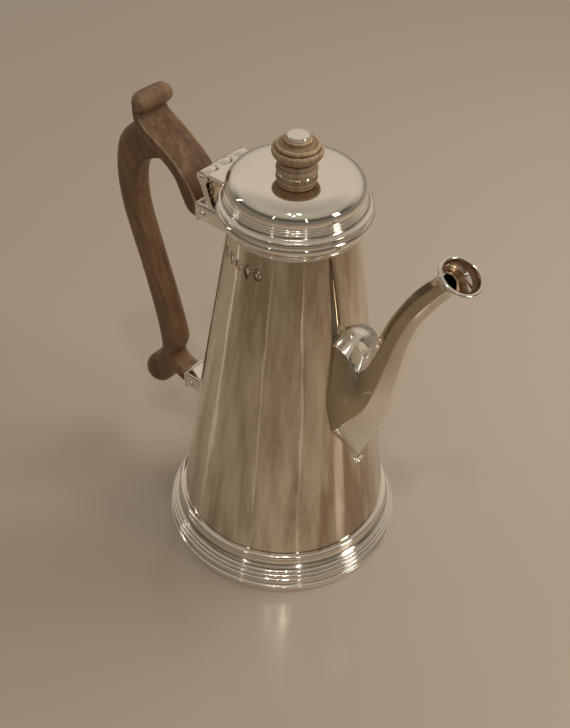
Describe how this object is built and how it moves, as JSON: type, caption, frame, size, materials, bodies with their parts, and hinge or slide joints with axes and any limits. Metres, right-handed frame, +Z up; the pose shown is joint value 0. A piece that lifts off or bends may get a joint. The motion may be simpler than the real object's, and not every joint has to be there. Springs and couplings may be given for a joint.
{
  "type": "coffee pot",
  "caption": "Tapered round coffee pot with a swan-neck spout, a carved wooden handle held in two sockets, and a hinged low-domed lid with a turned wooden knob.",
  "frame": {"origin": "middle of the whole object's footprint box, on the surface it stands on", "axes": "+Z up along the pot's own axis, +X the way the spout points, +Y to the pourer's left when the handle is held and the spout points away"},
  "size_m": [0.1898, 0.1128, 0.2132],
  "materials": {
    "silver": "polished",
    "fruitwood": "waxed"
  },
  "bodies": {
    "pot": {"body_shell": "silver", "base_plate": "silver", "foot_ring": "silver", "rim_moulding": "silver", "spout_shell": "silver", "spout_drop": "silver", "spout_lip": "silver", "handle": "fruitwood", "upper_socket": "silver", "lower_socket": "silver", "upper_socket_pin": "silver", "lower_socket_pin": "silver", "hinge_plate": "silver", "hinge_pin": "silver"},
    "lid": {"lid_hinge_leaf": "silver", "lid_cover": "silver", "lid_flange": "silver", "lid_bezel": "silver", "finial_collar": "silver", "finial": "fruitwood", "finial_screw": "silver", "finial_washer": "silver", "finial_nut": "silver"}
  },
  "joints": [
    {"name": "lid_hinge", "type": "hinge", "parent": "pot", "child": "lid", "pos_m": [-0.03258, 0, 0.182], "axis": [0, -1, 0], "range_deg": [0, 100]}
  ]
}
